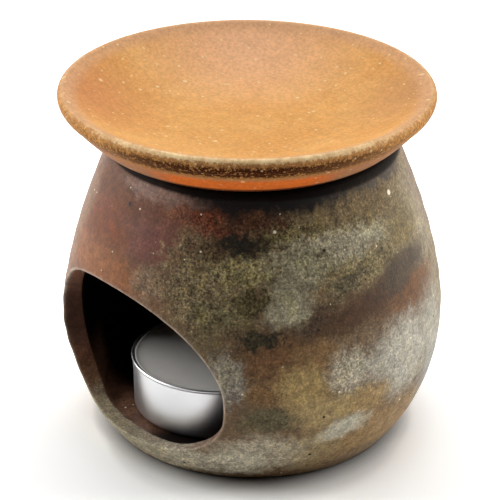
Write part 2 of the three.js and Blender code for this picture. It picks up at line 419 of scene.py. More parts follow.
# azimuth, height, half width, half height in mm, tilt up to the right in degrees, ash grain, colour
fire_marks_and_painted_light = [
    (-50, 52, 42, 34, 0, 0.1, "#7d4e33"),
    (-8, 62, 22, 5, 0, 0.2, "#673d22"),
    (-7, 54, 9, 5, 0, 0.1, "#733d1c"),
    (-6, 45, 17, 4, 0, 0.1, "#8d5934"),
    (-34, 50, 6, 14, 0, 0.1, "#8e6c52"),
    (17, 54.5, 7, 5.5, 0, 0.2, "#764b40"),
    (18, 46, 4, 3.5, 0, 0.6, "#8e765e"),
    (33, 54.5, 5, 3.5, -15, 0.8, "#7d664c"),
    (38.5, 46, 10.5, 8.5, -10, 0.9, "#86775a"),
    (45, 38.5, 8, 6, 0, 0.9, "#827856"),
    (92, 55, 27, 10, 0, 0.7, "#8f8260"),
    (65, 58, 9, 3, 0, 1.0, "#7a704c"),
    (105, 61.0, 17, 3.8, 0, 0.6, "#776547"),
    (50, 52, 7, 2.6, 0, 0.9, "#a0946a"),
    (81, 53.9, 15, 3.3, 2, 0.6, "#aca48a"),
    (69, 51, 6, 4, 0, 0.8, "#9c9578"),
    (128, 49, 10, 14, 0, 0.2, "#a09174"),
    (114, 54, 6, 6, 0, 0.4, "#83724f"),
    (64, 47, 5.5, 5, 0, 0.5, "#a29a7f"),
    (31, 60.5, 7, 3, 0, 0.6, "#7e523d"),
    (41, 60.5, 7, 3.4, -8, 0.9, "#6f3e2a"),
    (51, 61, 7, 2.8, 0, 0.9, "#583c2a"),
    (47, 56.4, 5.5, 2.2, 4, 0.7, "#252017"),
    (38, 54.5, 3, 2, 0, 0.9, "#625039"),
    # painted shade: the dish's shadow on the pot's front, just under the lip
    (57, 64.6, 24, 2.6, 0, 0.3, "#0d0807"),
    # painted highlight: a soft sheen on the shoulder just under the dish
    (13, 63.4, 9, 1.7, 0, 0.2, "#8f7164"),
    # painted shade: the dark band just under the dish's edge on the right
    (112, 64.2, 7, 1.4, 0, 0.3, "#4f4334"),
    (53, 45, 3, 3, 0, 0.9, "#655a3c"),
    (85, 46.5, 6, 1.6, 25, 0.8, "#6c624b"),
    (80, 37, 30, 5, 2, 0.4, "#78624a"),
    (114, 39, 11, 5, 0, 0.2, "#744e2c"),
    (65.5, 41.8, 5, 3.4, 0, 0.5, "#b0a88d"),
    (60, 32, 9, 7, 0, 0.4, "#785638"),
    (71, 33, 5, 4, 0, 0.35, "#8f6f49"),
    (58, 26, 6, 4, 0, 0.5, "#866745"),
    (68, 26, 5, 5, 0, 0.3, "#b59a65"),
    (82, 40, 12, 2.6, 10, 0.3, "#573f2a"),
    (73, 41, 4.5, 1.5, 35, 0.6, "#5d4a38"),
    (99, 43.4, 11, 2.8, 12, 0.1, "#533a28"),
    (110, 45.2, 9, 3.2, 8, 0.2, "#534330"),
    (55, 37.4, 4.4, 1.8, 0, 0.9, "#423b2a"),
    (45, 28, 3.6, 5.5, 0, 0.6, "#a0988a"),
    (83, 28, 5.2, 5.4, 0, 0.6, "#bfb59f"),
    # This mark and the next two, on the right towards the limb, are pale ash with a painted reflection of the
    # white table in them.
    (104, 27, 9.5, 8.5, 0, 0.3, "#c0baab"),
    (126, 27.5, 9, 9.5, 0, 0.1, "#b1ab9a"),
    (129, 15, 8, 7, 0, 0.1, "#a09f98"),
    (78, 19.5, 8, 4, 0, 0.25, "#b0986a"),
    (90, 20, 5, 4, 0, 0.3, "#a88c60"),
    (57, 18.5, 6.5, 3, 0, 0.5, "#6a6146"),
    # This mark and the next seven, low on the front, are pale ash, made paler still with painted light
    # bounced up from the table.
    (101, 9, 17, 7, 0, 0.3, "#a2845a"),
    (112, 3, 14, 2.5, 0, 0.3, "#877459"),
    (73, 9, 6, 6, 0, 0.3, "#a38d64"),
    (82, 13.6, 5, 2.8, 15, 0.2, "#cdc6b0"),
    (54, 9, 10, 5, 0, 0.4, "#c0b59d"),
    (44, 6, 7, 3, 0, 0.3, "#d8d1ba"),
    (20, 5, 15, 4, 0, 0.5, "#c3b9a3"),
    (-8, 5.5, 16, 4.5, 0, 0.4, "#a99f84"),
    (150, 34, 14, 16, 10, 0.4, "#8a7a60"),
    (168, 52, 18, 10, -10, 0.2, "#7b5d4c"),
    (188, 24, 19, 10, 24, 0.4, "#938c7c"),
    (205, 44, 20, 9, 12, 0.3, "#5b4635"),
    (218, 14, 18, 10, 0, 0.4, "#a0835a"),
    (238, 53, 21, 8, 14, 0.5, "#7a6a4c"),
    (255, 30, 18, 12, -15, 0.5, "#877863"),
    (280, 12, 20, 9, 0, 0.5, "#9b907a"),
    (290, 38, 15, 8, 26, 0.5, "#71624a"),
]

# Pits where a bit of straw or lime burnt out, and larger grains of white grog: azimuth, height and radius
# in mm, colour.
flaws = [
    (2, 59.5, 0.5, "#1b1410"),
    (77, 54.2, 0.45, "#1b1410"),
    (60, 58.8, 0.4, "#fff3d6"),
    (112, 60.5, 0.6, "#fff3d6"),
]


def specks(tree, place, spacing, share, reach):
    """Round specks about one spacing apart: a share of the cells holds one, of a size up to reach of a
    cell."""
    distance = add(tree, "TexVoronoi", {"Scale": 1 / spacing}, {"Vector": place}, "Distance")
    chosen = add(tree, "SeparateColor", {}, {0: distance.node.outputs["Color"]})
    size = add(tree, "MapRange", {1: 1 - share, 2: 1.0, 3: 0.0, 4: reach}, {0: chosen})
    inner = add(tree, "Math", {"operation": "MULTIPLY", 1: 0.6}, {0: size})
    return add(tree, "MapRange", smoothstep, {0: distance, 1: size, 2: inner})


def on_wall(azimuth, height):
    """The point of the pot's wall at an azimuth and a height, in metres."""
    turn = math.radians(azimuth)
    radius = float(pot_outer_radius(height))
    return radius * math.sin(turn) * mm, -radius * math.cos(turn) * mm, height * mm


fire_mark_depth = 30.0
bare_clay_ash = 0.3
clay_gloss = 0.2
soot_and_shade_gloss = 0.03


def stoneware():
    """Fire marks, and a few marks of painted light and shade, laid over the clay, their edges warped and
    frayed, then throwing lines, blotches, ash grains, flecks, pits and grog specks, a painted highlight with
    some wear on the window's edge, soot and painted shade inside, painted shade round the lip, and bump
    from the same patterns."""
    material, tree, shader = new_material("wood_fired_stoneware")
    place = add(tree, "TexCoord", output="Object")
    grit = {"Roughness": 0.7}
    warped = place
    for size, reach in ((13 * mm, 7 * mm), (2.2 * mm, 4 * mm)):
        swirl = add(
            tree, "TexNoise", {**grit, "Scale": 1 / size, "Detail": 3.0}, {"Vector": place}, "Color"
        )
        swirl = add(tree, "VectorMath", {"operation": "SUBTRACT", 1: (0.5, 0.5, 0.5)}, {0: swirl})
        swirl = add(tree, "VectorMath", {"operation": "SCALE", "Scale": reach}, {0: swirl})
        warped = add(tree, "VectorMath", {"operation": "ADD"}, {0: warped, 1: swirl})
    frayed = add(tree, "TexNoise", {**grit, "Scale": 1 / (1.6 * mm), "Detail": 5.0}, {"Vector": place})
    frayed = add(tree, "MapRange", {1: 0.2, 2: 0.8, 3: -0.8, 4: 0.8}, {0: frayed})
    colour = add(tree, "RGB")
    colour.default_value = linear(pot_clay)
    ash = add(tree, "Value")
    ash.default_value = bare_clay_ash
    for azimuth, height, half_width, half_height, tilt, ash_grain, hex_colour in fire_marks_and_painted_light:
        patch = add(
            tree,
            "Mapping",
            {
                "vector_type": "TEXTURE",
                "Location": on_wall(azimuth, height),
                "Rotation": (0.0, -math.radians(tilt), math.radians(azimuth)),
                "Scale": (half_width * mm, fire_mark_depth * mm, half_height * mm),
            },
            {"Vector": warped},
        )
        far = add(tree, "VectorMath", {"operation": "LENGTH"}, {0: patch}, "Value")
        far = add(tree, "Math", {"operation": "MULTIPLY_ADD", 1: ash_grain}, {0: frayed, 2: far})
        softness = 0.6 - 0.25 * ash_grain
        mask = add(tree, "MapRange", {**smoothstep, 1: 1 + softness, 2: 1 - softness}, {0: far})
        colour = layered(tree, colour, [(hex_colour, mask)])
        ash = add(tree, "Mix", {"data_type": "FLOAT", 3: ash_grain}, {0: mask, 2: ash})

    raw = add(tree, "Attribute", {"attribute_name": "raw_clay"}, output="Fac")
    colour = layered(tree, colour, [("#6e4430", raw)])
    grains = {}
    for name, size, detail in (
        ("fine", 0.5, 2.0),
        ("clots", 1.8, 4.0),
        ("blotches", 4.5, 4.0),
        ("smudges", 2.2, 4.0),
        ("ash_grains", 0.5, 3.0),
        ("flecks", 0.6, 3.0),
        ("edge_patches", 1.6, 3.0),
    ):
        settings = {**grit, "Scale": 1 / (size * mm), "Detail": detail}
        grains[name] = add(tree, "TexNoise", settings, {"Vector": place})
    thrown = add(tree, "Mapping", {"Scale": (0.05, 0.05, 1.0)}, {"Vector": place})
    lines = add(tree, "TexNoise", {"Scale": 1 / (1.1 * mm), "Detail": 2.0}, {"Vector": thrown})
    for pattern, dark, light in (
        (grains["clots"], 0.7, 1.3),
        (lines, 0.92, 1.08),
        (grains["fine"], 0.86, 1.14),
    ):
        factor = add(tree, "MapRange", {**smoothstep, 1: 0.25, 2: 0.75, 3: dark, 4: light}, {0: pattern})
        colour = add(tree, "VectorMath", {"operation": "SCALE"}, {0: colour, "Scale": factor})
    for name, low, high, tint in (
        ("blotches", 0.52, 0.62, (1.08, 1.04, 0.85)),
        ("blotches", 0.48, 0.38, (0.62, 0.56, 0.56)),
        ("smudges", 0.48, 0.4, (0.6, 0.57, 0.57)),
        ("ash_grains", 0.5, 0.6, (1.95, 1.88, 1.68)),
        ("flecks", 0.5, 0.4, (0.26, 0.25, 0.25)),
    ):
        amount = add(tree, "MapRange", {**smoothstep, 1: low, 2: high}, {0: grains[name]})
        amount = add(tree, "Math", {"operation": "MULTIPLY"}, {0: amount, 1: ash})
        over = {"data_type": "RGBA", "blend_type": "MULTIPLY", mix_over: (*tint, 1.0)}
        colour = add(tree, "Mix", over, {mix_factor: amount, mix_base: colour}, mix_result)

    pits = specks(tree, place, 3.8 * mm, 0.3, 0.15)
    grog = specks(tree, place, 2.2 * mm, 0.35, 0.14)
    layers = [("#1d1612", pits), ("#fff3d6", grog)]
    for azimuth, height, radius, hex_colour in flaws:
        spot = on_wall(azimuth, height)
        gap = add(tree, "VectorMath", {"operation": "DISTANCE", 1: spot}, {0: place}, "Value")
        edge = {1: 1.3 * radius * mm, 2: 0.7 * radius * mm}
        layers.append((hex_colour, add(tree, "MapRange", {**smoothstep, **edge}, {0: gap})))
    # Painted highlight with some wear on the cut's outer edge, broken into patches.
    edge_highlight = add(tree, "Attribute", {"attribute_name": "edge_highlight_and_wear"}, output="Fac")
    patchy = add(tree, "MapRange", {**smoothstep, 1: 0.4, 2: 0.58, 3: 0.45, 4: 1.0}, {0: grains["edge_patches"]})
    edge_highlight = add(tree, "Math", {"operation": "MULTIPLY"}, {0: edge_highlight, 1: patchy})
    # Soot and painted shade: inside the pot, on the cut face, and as a dark ring round the lip under the
    # dish; it also takes away most of the gloss.
    soot_and_painted_shade = add(tree, "Attribute", {"attribute_name": "soot_and_painted_shade"}, output="Fac")
    layers += [("#dcc7b0", edge_highlight), ("#140f0d", soot_and_painted_shade)]
    colour = layered(tree, colour, layers)
    relief = add(tree, "Math", {"operation": "SUBTRACT"}, {0: grains["fine"], 1: pits})
    relief = add(tree, "Math", {"operation": "ADD"}, {0: relief, 1: grog})
    relief = add(tree, "Math", {"operation": "MULTIPLY_ADD", 1: 0.8}, {0: lines, 2: relief})
    bump = add(tree, "Bump", {"Strength": 0.5, "Distance": 0.2 * mm}, {"Height": relief})
    roughness = add(tree, "MapRange", {**smoothstep, 1: 0.0, 2: 1.0, 3: 0.5, 4: 0.75}, {0: ash})
    gloss = add(tree, "MapRange", {**smoothstep, 1: 0.0, 2: 0.9, 3: clay_gloss, 4: soot_and_shade_gloss}, {0: soot_and_painted_shade})
    tree.links.new(shader.inputs["Base Color"], colour)
    tree.links.new(shader.inputs["Roughness"], roughness)
    tree.links.new(shader.inputs["Normal"], bump)
    shader.inputs["Specular IOR Level"].default_value = clay_gloss
    tree.links.new(shader.inputs["Specular IOR Level"], gloss)
    return material


pot_sheets = [outer_frame, outer_back, inner_frame, inner_back, cut_face, disc(0.0), disc(pot_floor)]
# Where the cut face has its painted highlight with wear, its raw clay, and its soot and painted shade: by
# height in mm, and by row, counted from the outside in.
cut_height = cut_face[..., 2]
cut_rows = np.arange(cut_face.shape[1])
# Painted highlight with some wear along the cut's outer edge, stronger towards the window's top.
edge_light_by_height = np.clip(fade(cut_height[:, :1], 12, 26), 0.15, 0.9)
edge_highlight_and_wear = edge_light_by_height * fade(np.abs(cut_rows - soft_steps / 2), 3.5, 0)
cut_raw = np.maximum(fade(cut_height[:, :1], 5, 14), 0.25) * np.minimum(fade(cut_rows, 4, 7), 0.9)
# Soot and painted shade on the cut face: a little everywhere, most on the window's left side between these
# heights.
darkened_height = fade(cut_height, 14, 20) * fade(cut_height, 36, 28)
cut_soot_and_shade = 0.1 + 0.55 * darkened_height * fade(cut_face[..., 0], -6, -12)
# The band of painted shade round the lip, under the dish.
lip_ring_foot = pot_height - 2.2
lip_ring_top = pot_height - 1.7


def inside_soot_and_shade(points):
    """Soot and painted shade on the inside: little at the left foot of the window, all of it deeper in and
    higher up.
    """
    across, depth, height = np.moveaxis(points, -1, 0)
    deep = np.maximum(fade(depth, -25, -19), fade(height, 9, 18))
    return np.maximum(np.maximum(deep, fade(across, -2, 7)), 0.3)


def lip_painted_shade(points):
    """Painted shade: a dark ring round the lip, under the dish's edge."""
    return 0.95 * fade(points[..., 2], lip_ring_foot, lip_ring_top)


pot = joined_piece(
    "stoneware_pot",
    pot_sheets,
    {
        "soot_and_painted_shade": [
            lip_painted_shade(outer_frame),
            lip_painted_shade(outer_back),
            inside_soot_and_shade(inner_frame),
            inside_soot_and_shade(inner_back),
            cut_soot_and_shade,
            0.0,
            inside_soot_and_shade(pot_sheets[-1]),
        ],
        "edge_highlight_and_wear": [0.0, 0.0, 0.0, 0.0, edge_highlight_and_wear, 0.0, 0.0],
        "raw_clay": [0.0, 0.0, 0.9, 0.9, cut_raw, 0.0, 0.9],
    },
)
pot.data.materials.append(stoneware())
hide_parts("pot_body")
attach(pot, "pot")

# TEALIGHT CUP
# Drawn from thin aluminium sheet, slightly wider at the top, with a rolled rim and a rounded foot. It
# stands loose on the pot's floor, pushed towards the window.
cup_radius = 19.0
cup_height = 12.0
cup_wall = 0.4
cup_draft = 0.3
cup_bead = 0.3
cup_bead_reach = 0.65
cup_corner = 0.9
cup_flat_margin = 1.0
cup_aside = 1.0
cup_stand_off = 1.5
cup_sides = 160
seat_gap = 0.3
cup_top_radius = cup_radius - cup_bead
cup_base_radius = cup_top_radius - cup_draft
cup_place = (cup_aside, -(chamber_floor_radius - cup_base_radius - cup_stand_off), pot_floor + seat_gap)


def turned(profile, place, sides):
    """A profile of radius and height turned about an upright axis at a place, as one closed sheet."""
    angle = np.linspace(0, 2 * np.pi, sides + 1)[:, None]
    radius, height = profile[:, 0], profile[:, 1]
    return np.stack(
        [
            place[0] + radius * np.sin(angle),
            place[1] - radius * np.cos(angle),
            place[2] + height + 0 * angle,
        ],
        -1,
    )


side_height = np.linspace(cup_corner, cup_height - cup_bead_reach, 40)[1:]
cup_side = np.stack([cup_base_radius + cup_draft * side_height / cup_height, side_height], -1)
cup_profile = np.concatenate(
    [
        [[0.0, 0.0], [cup_base_radius - cup_corner - cup_flat_margin, 0.0]],
        arc((cup_base_radius - cup_corner, cup_corner), (cup_corner, cup_corner), -90, 0, 10),
        cup_side,
        arc((cup_top_radius, cup_height - cup_bead), (cup_bead, cup_bead), -70, 180, 18),
        [[cup_base_radius + cup_draft / 2 - cup_wall, cup_height / 2]],
        arc(
            (cup_base_radius - cup_corner, cup_corner),
            (cup_corner - cup_wall, cup_corner - cup_wall),
            0, -90, 8,
        ),
        [[0.0, cup_wall]],
    ]
)


def bright_aluminium():
    """Bare drawn sheet: a mirror that small dents and drawing marks blur."""
    material, tree, shader = new_material("drawn_aluminium")
    place = add(tree, "TexCoord", output="Object")
    dents = add(tree, "TexNoise", {"Scale": 1 / (6 * mm), "Detail": 2.0}, {"Vector": place})
    rough = add(tree, "MapRange", {1: 0.3, 2: 0.7, 3: 0.29, 4: 0.34}, {0: dents})
    tree.links.new(shader.inputs["Roughness"], rough)
    shader.inputs["Base Color"].default_value = linear("#e2e3e5")
    shader.inputs["Metallic"].default_value = 1.0
    return material


cup = joined_piece("tealight_cup", [turned(cup_profile, cup_place, cup_sides)])
cup.data.materials.append(bright_aluminium())
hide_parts("candle_cup")
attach(cup, "candle_holder")

# WAX
# White paraffin poured into the cup round the wick and its tab, with a small meniscus at its edge and a dip
# round the wick. It has shrunk a hair from the cup's wall, so the filling lifts out.
wax_drop = 0.5
wax_gap = 0.08
wax_meniscus = 0.3
wax_meniscus_width = 0.5
wax_dip = 0.45
wax_dip_radius = 3.5
wick_radius = 0.75
tab_radius = 6.0
tab_thickness = 0.4
tab_neck_wall = 0.5
tab_neck_height = 3.0
wax_top = cup_height - wax_drop
wax_corner = cup_corner - cup_wall
tab_bore = wick_radius + seat_gap
tab_foot = cup_wall + seat_gap
tab_top = tab_foot + tab_thickness
tab_neck_radius = tab_bore + tab_neck_wall
neck_top = tab_top + tab_neck_height
neck_pocket = tab_neck_radius + tab_thickness + seat_gap


def wax_wall(height):
    """Radius of the wax at a height: the cup's drafted inside less the gap."""
    return cup_base_radius + cup_draft * height / cup_height - cup_wall - wax_gap


# The top is level, with an exponential climb to the cup's wall and a bell-shaped dip round the wick.
wax_radius = tab_bore + (wax_wall(wax_top) - tab_bore) * np.linspace(1, 0, 40)
wax_climb = wax_meniscus * np.exp(-(wax_wall(wax_top) - wax_radius) / wax_meniscus_width)
wax_sink = wax_dip * np.exp(-((wax_radius / wax_dip_radius) ** 2))
wax_profile = np.concatenate(
    [
        [[tab_radius + seat_gap, tab_foot]],
        arc((wax_wall(0) - wax_corner, tab_foot + wax_corner), (wax_corner, wax_corner), -90, 0, 8),
        np.stack([wax_radius, wax_top + wax_climb - wax_sink], -1),
        [
            [tab_bore, neck_top + seat_gap],
            [neck_pocket, neck_top + seat_gap],
            [neck_pocket, tab_top + seat_gap],
            [tab_radius + seat_gap, tab_top + seat_gap],
            [tab_radius + seat_gap, tab_foot],
        ],
    ]
)


def paraffin():
    """Cast wax: milky white, with a soft sheen and a faintly clouded surface."""
    material, tree, shader = new_material("white_paraffin")
    place = add(tree, "TexCoord", output="Object")
    cloud = add(tree, "TexNoise", {"Scale": 1 / (5 * mm), "Detail": 4.0}, {"Vector": place})
    whites = {"data_type": "RGBA", mix_base: linear("#d9d6d0"), mix_over: linear("#ece9e3")}
    colour = add(tree, "Mix", whites, {mix_factor: cloud}, mix_result)
    bump = add(tree, "Bump", {"Strength": 0.15, "Distance": 0.2 * mm}, {"Height": cloud})
    tree.links.new(shader.inputs["Base Color"], colour)
    tree.links.new(shader.inputs["Normal"], bump)
    shader.inputs["Roughness"].default_value = 0.6
    shader.inputs["IOR"].default_value = 1.43
    shader.inputs["Specular IOR Level"].default_value = 0.25
    return material


wax = joined_piece("paraffin_filling", [turned(wax_profile, cup_place, cup_sides)])
wax.data.materials.append(paraffin())
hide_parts("candle_wax")
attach(wax, "candle_fill")

# WICK
# A cord of braided cotton, stiff with wax. It is crimped in the tab's neck, stands through the wax and leans
# a little above it.
wick_stand = 6.0
wick_lean = 0.8
wick_tip = 0.5
strand_pitch = 2.4
braid_sink = 0.06
braid_depth = 0.1


def wick_surface():
    """A tube whose middle leans away with the square of its height over the wax, and whose radius swells and
    sinks where strands that climb both ways round it cross, and closes as a parabola at the tip."""
    turn = np.linspace(0, 2 * np.pi, 49)[:, None]
    height = np.linspace(tab_top + seat_gap, wax_top + wick_stand, 120)
    over = np.clip((height - wax_top) / wick_stand, 0, None)
    climb = 2 * np.pi * height / strand_pitch
    braid = np.cos(2 * turn - climb) * np.cos(2 * turn + climb)
    tip = np.sqrt(fade(height, height[-1], height[-1] - wick_tip))
    radius = (wick_radius - braid_sink) * (1 + braid_depth * braid) * tip
    radius[:, 0] = 0.0
    return np.stack(
        [
            cup_place[0] + wick_lean * over**2 + radius * np.sin(turn),
            cup_place[1] - radius * np.cos(turn),
            cup_place[2] + height + 0 * turn,
        ],
        -1,
    )


def waxed_cotton():
    """Bleached cotton yarn soaked in wax: off-white, dull, with the yarns' shadows between them."""
    material, tree, shader = new_material("waxed_cotton")
    place = add(tree, "TexCoord", output="Object")
    yarn = add(tree, "TexNoise", {"Scale": 1 / (0.3 * mm), "Detail": 3.0}, {"Vector": place})
    whites = {"data_type": "RGBA", mix_base: linear("#b8ae98"), mix_over: linear("#eee8da")}
    colour = add(tree, "Mix", whites, {mix_factor: yarn}, mix_result)
    bump = add(tree, "Bump", {"Strength": 0.4, "Distance": 0.1 * mm}, {"Height": yarn})
    tree.links.new(shader.inputs["Base Color"], colour)
    tree.links.new(shader.inputs["Normal"], bump)
    shader.inputs["Roughness"].default_value = 0.85
    return material


wick = joined_piece("cotton_wick", [wick_surface()])
wick.data.materials.append(waxed_cotton())
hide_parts("candle_wick")
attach(wick, "candle_fill")

# WICK TAB
# A round of tinplate stamped with a neck. The neck is crimped on the foot of the wick and keeps it upright,
# and the round lies on the cup's floor under the wax.
tab_edge = tab_thickness / 2
tab_sides = 96
neck_fillet = 0.4
neck_roll = tab_neck_wall / 2
tab_profile = np.concatenate(
    [
        [[0.0, tab_foot]],
        arc((tab_radius - tab_edge, tab_foot + tab_edge), (tab_edge, tab_edge), -90, 90, 8),
        arc((tab_neck_radius + neck_fillet, tab_top + neck_fillet), (neck_fillet, neck_fillet), -90, -180, 6),
        arc((tab_bore + neck_roll, neck_top - neck_roll), (neck_roll, neck_roll), 0, 180, 8),
        [[tab_bore, tab_top], [0.0, tab_top]],
    ]
)


def tinplate():
    """Tin-coated steel sheet: pale grey metal, satin, with faint rolling lines."""
    material, tree, shader = new_material("stamped_tinplate")
    place = add(tree, "TexCoord", output="Object")
    rolled = add(tree, "Mapping", {"Scale": (1.0, 12.0, 1.0)}, {"Vector": place})
    lines = add(tree, "TexNoise", {"Scale": 1 / (2 * mm), "Detail": 3.0}, {"Vector": rolled})
    rough = add(tree, "MapRange", {1: 0.3, 2: 0.7, 3: 0.3, 4: 0.5}, {0: lines})
    tree.links.new(shader.inputs["Roughness"], rough)
    shader.inputs["Base Color"].default_value = linear("#b9bbbd")
    shader.inputs["Metallic"].default_value = 1.0
    return material


tab = joined_piece("tinplate_tab", [turned(tab_profile, cup_place, tab_sides)])
tab.data.materials.append(tinplate())
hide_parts("wick_tab")
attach(tab, "candle_fill")

# DISH
# A shallow saucer thrown from the same clay, fired where the flame ran clean, so it came out orange. It
# rests on the pot's lip by its weight, a little off centre, with its turned foot inside the mouth.
dish_radius = 40.0
dish_rise = 10.65
dish_floor = 4.2
dish_well_radius = 12.0
dish_well_power = 2.1
dish_underside_power = 1.3
dish_rim_thickness = 4.0
dish_rim_width = 3.6
dish_rim_trim = 0.1
dish_rim_lean = 0.55
dish_foot_height = 2.4
dish_foot_width = 3.6
dish_foot_recess = 0.8
dish_foot_edge = 0.5
dish_foot_chamfer = 0.2
dish_foot_play = 0.8
dish_recess_margin = 2.0
dish_seat_margin = 0.2
dish_sides = 300
dish_place = (-0.9, -1.2, pot_height + seat_gap)
dish_shift = math.hypot(dish_place[0], dish_place[1])
dish_foot_radius = pot_mouth_radius - pot_wall - dish_shift - dish_foot_play
dish_seat_radius = lip_radius + dish_shift + dish_seat_margin

rim_from, rim_to, rim_steps = -60, 120, 36
rim_turn = np.linspace(rim_from, rim_to, rim_steps + 1)
rim = arc(
    (dish_radius - dish_rim_width / 2, dish_rise - dish_rim_thickness / 2),
    (dish_rim_width / 2 - dish_rim_trim, dish_rim_thickness / 2),
    rim_from, rim_to, rim_steps,
)
rim[:, 0] += dish_rim_lean * np.sin(np.radians(rim_turn))
recess_height = dish_foot_recess - dish_foot_height
well_height = recess_height + dish_floor
foot_inside = dish_foot_radius - dish_foot_width
rising = np.linspace(0, 1, 30)
underside = np.stack(
    [
        dish_seat_radius + (rim[0, 0] - dish_seat_radius) * rising,
        rim[0, 1] * rising**dish_underside_power,
    ],
    -1,
)
falling = np.linspace(1, 0, 50)
well = np.stack(
    [
        dish_well_radius + (rim[-1, 0] - dish_well_radius) * falling,
        well_height + (rim[-1, 1] - well_height) * falling**dish_well_power,
    ],
    -1,
)
foot = np.concatenate(
    [
        [[0.0, recess_height], [foot_inside - dish_recess_margin, recess_height]],
        arc((foot_inside, recess_height), (dish_foot_edge, dish_foot_edge), 180, 270, 4),
        [[foot_inside + dish_foot_chamfer, -dish_foot_height]],
        arc(
            (dish_foot_radius - dish_foot_edge, dish_foot_edge - dish_foot_height),
            (dish_foot_edge, dish_foot_edge),
            -90, 0, 6,
        ),
        [[dish_foot_radius, -dish_foot_chamfer], [dish_foot_radius + dish_foot_chamfer, 0.0]],
    ]
)
middle_radius = np.linspace(dish_well_radius, 0, 12)[1:]
middle = np.stack([middle_radius, np.full_like(middle_radius, well_height)], -1)
dish_parts = {"foot": foot, "underside": underside, "rim": rim[1:], "well": well[1:], "middle": middle}
dish_profile = np.concatenate(list(dish_parts.values()))

dish_patch_height = 74.0
dish_gloss = 0.15
toasted_gloss = 0.03


